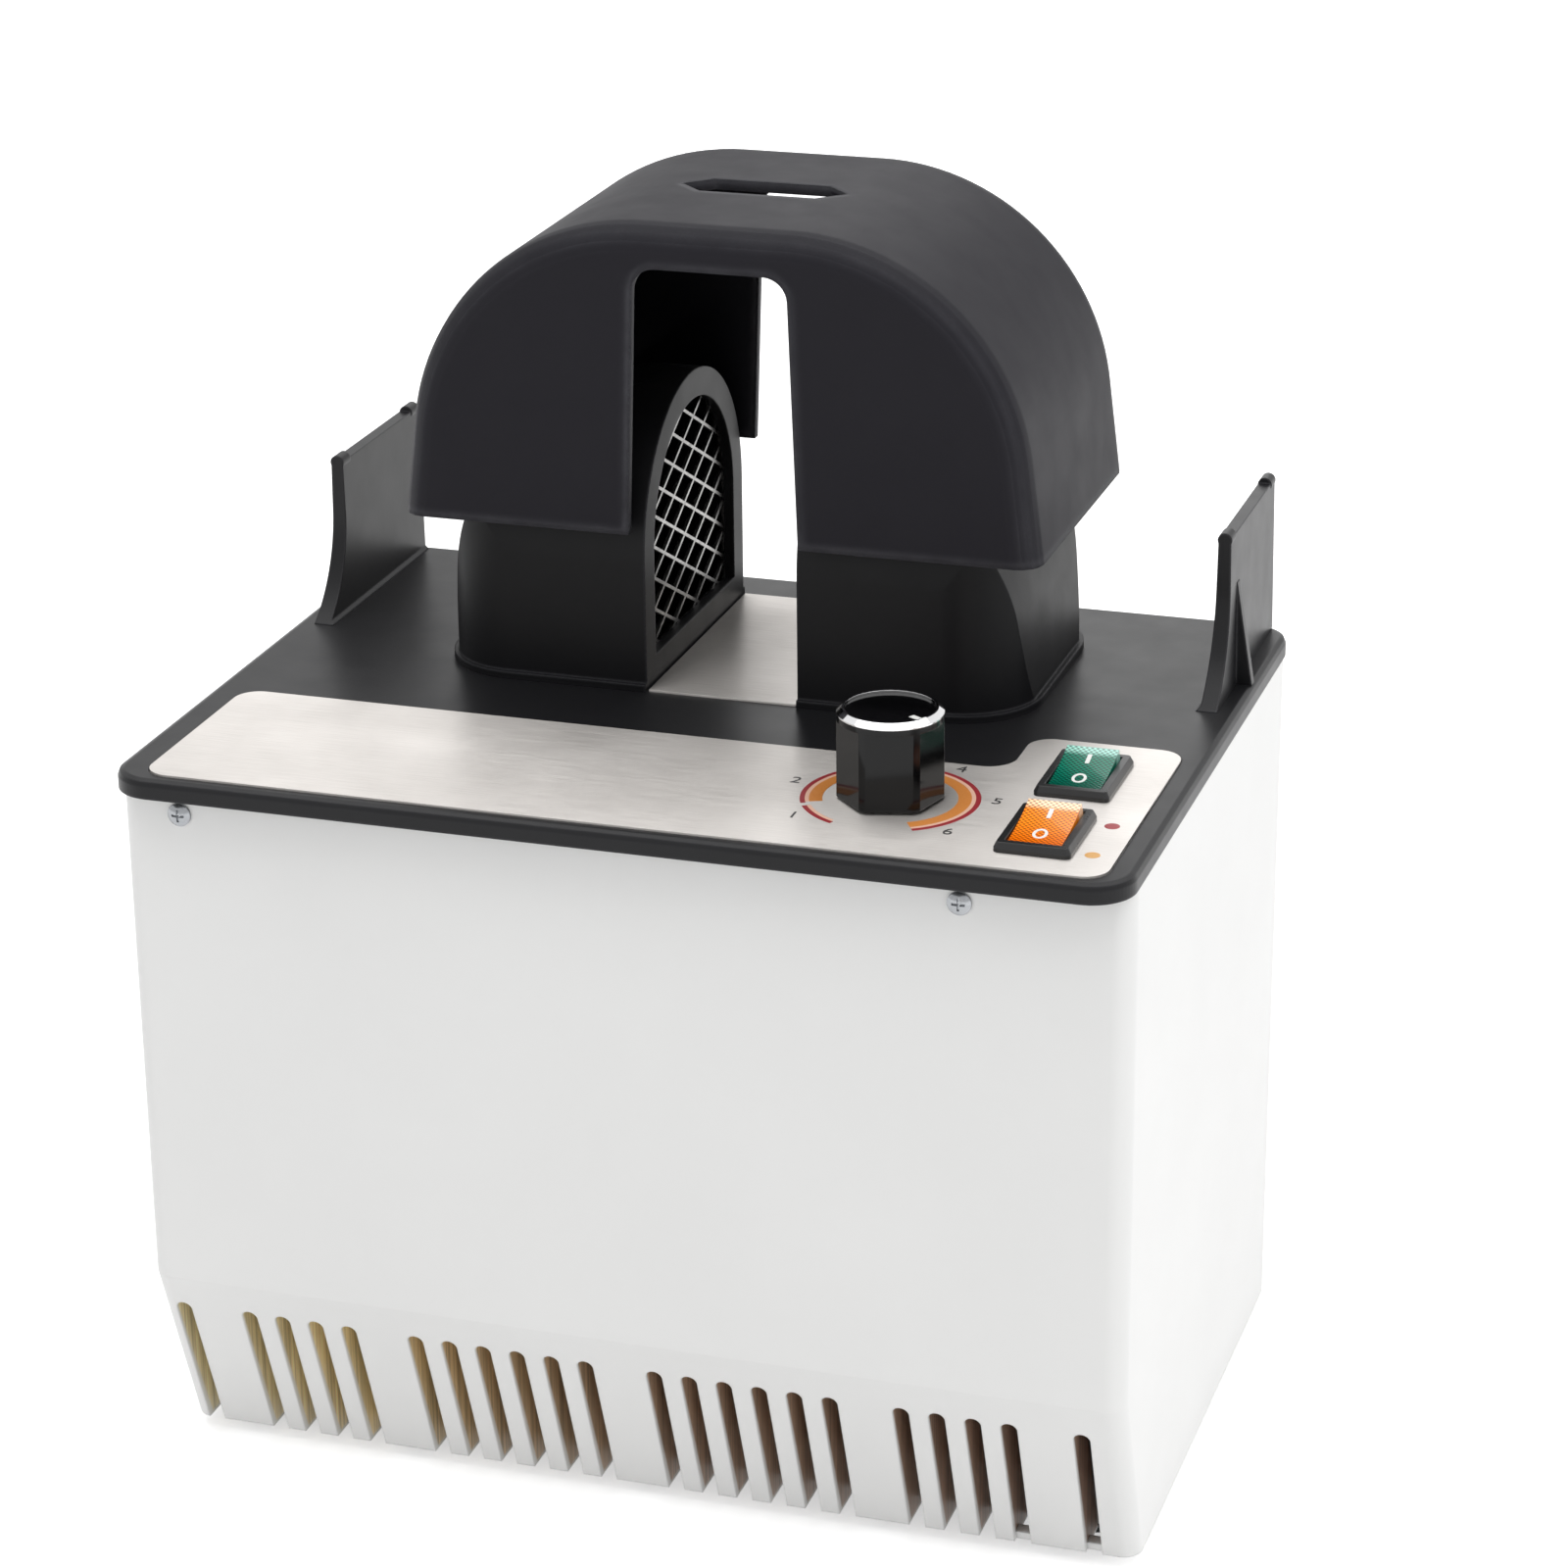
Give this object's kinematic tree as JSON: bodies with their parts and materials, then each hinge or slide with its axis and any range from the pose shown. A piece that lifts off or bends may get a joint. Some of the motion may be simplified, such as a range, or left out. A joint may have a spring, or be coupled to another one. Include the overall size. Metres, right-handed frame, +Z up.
{
  "type": "eyeglass frame warmer",
  "caption": "Counter-top warm air unit for fitting spectacle frames: white vented casing, black deck with two grilled nozzles under a lift-off hood, knob and rocker switches.",
  "frame": {"origin": "on the table top, under the middle of the casing", "axes": "+Z up, +X to the right of someone facing the controls, +Y towards the rear"},
  "size_m": [0.206, 0.1526, 0.256],
  "materials": {
    "white_moulding": "fine satin texture, white moulded housing",
    "white_sheet": "white powder coat on pressed sheet",
    "foot_rubber": "matt black rubber",
    "black_moulding": "satin black heat-resistant moulding",
    "hood_moulding": "fine matt black moulding",
    "zinc_screw": "bright zinc",
    "brushed_plate": "brushed lengthways",
    "grille_sheet": "bright expanded sheet",
    "knob_gloss": "polished black",
    "knob_chrome": "plated ring",
    "switch_black": "semi-gloss black",
    "green_lens": "tinted clear green",
    "orange_lens": "tinted clear orange",
    "brass_tab": "plain brass",
    "duct_sheet": "galvanised sheet",
    "mica_board": "mica board",
    "ribbon_alloy": "oxidised resistance ribbon",
    "phenolic": "phenolic moulding",
    "fan_black": "black glass-filled moulding",
    "motor_steel": "varnished motor can",
    "circuit_board": "green solder mask",
    "components": "board components",
    "nylon": "natural nylon",
    "gland_nylon": "black nylon"
  },
  "bodies": {
    "housing": {"casing": "white_moulding", "base_plate": "white_sheet", "feet": "foot_rubber", "foot_screws": "zinc_screw", "deck": "black_moulding", "casing_screws": "zinc_screw", "left_rest": "black_moulding", "right_rest": "black_moulding", "left_nozzle": "black_moulding", "right_nozzle": "black_moulding", "left_grille": "grille_sheet", "right_grille": "grille_sheet", "nozzle_screws": "zinc_screw", "gap_plate": "brushed_plate", "control_plate": "brushed_plate", "regulator": "phenolic", "regulator_nut": "zinc_screw", "green_switch_case": "switch_black", "orange_switch_case": "switch_black", "switch_tabs": "brass_tab", "duct": "duct_sheet", "duct_screws": "zinc_screw", "heater_frame": "mica_board", "heater_ribbon": "ribbon_alloy", "thermal_cutout": "phenolic", "fan_frame": "fan_black", "fan_screws": "zinc_screw", "fan_motor": "motor_steel", "control_board": "circuit_board", "board_parts": "components", "board_posts": "nylon", "cord_gland": "gland_nylon", "terminal_block": "nylon"},
    "hood_shell": {"hood": "hood_moulding"},
    "dial": {"knob": "knob_gloss", "knob_ring": "knob_chrome", "regulator_shaft": "zinc_screw"},
    "green_button": {"green_rocker": "green_lens"},
    "orange_button": {"orange_rocker": "orange_lens"},
    "rotor": {"fan_impeller": "fan_black", "fan_shaft": "zinc_screw"}
  },
  "joints": [
    {"name": "hood_lift", "type": "slide", "parent": "housing", "child": "hood_shell", "axis": [0, 0, 1], "range_m": [-0.0347, 0.03]},
    {"name": "knob_turn", "type": "hinge", "parent": "housing", "child": "dial", "pos_m": [0.0489, -0.04515, 0.158], "axis": [0, 0, 1], "range_deg": [-20, 260]},
    {"name": "green_rock", "type": "hinge", "parent": "housing", "child": "green_button", "pos_m": [0.0823, -0.0254, 0.1568], "axis": [-1, 0, 0], "range_deg": [0, 18]},
    {"name": "orange_rock", "type": "hinge", "parent": "housing", "child": "orange_button", "pos_m": [0.0823, -0.0554, 0.1568], "axis": [-1, 0, 0], "range_deg": [0, 18]},
    {"name": "fan_spin", "type": "hinge", "parent": "housing", "child": "rotor", "pos_m": [0, 0.0112, 0.08], "axis": [0, 0, 1], "continuous": true}
  ]
}
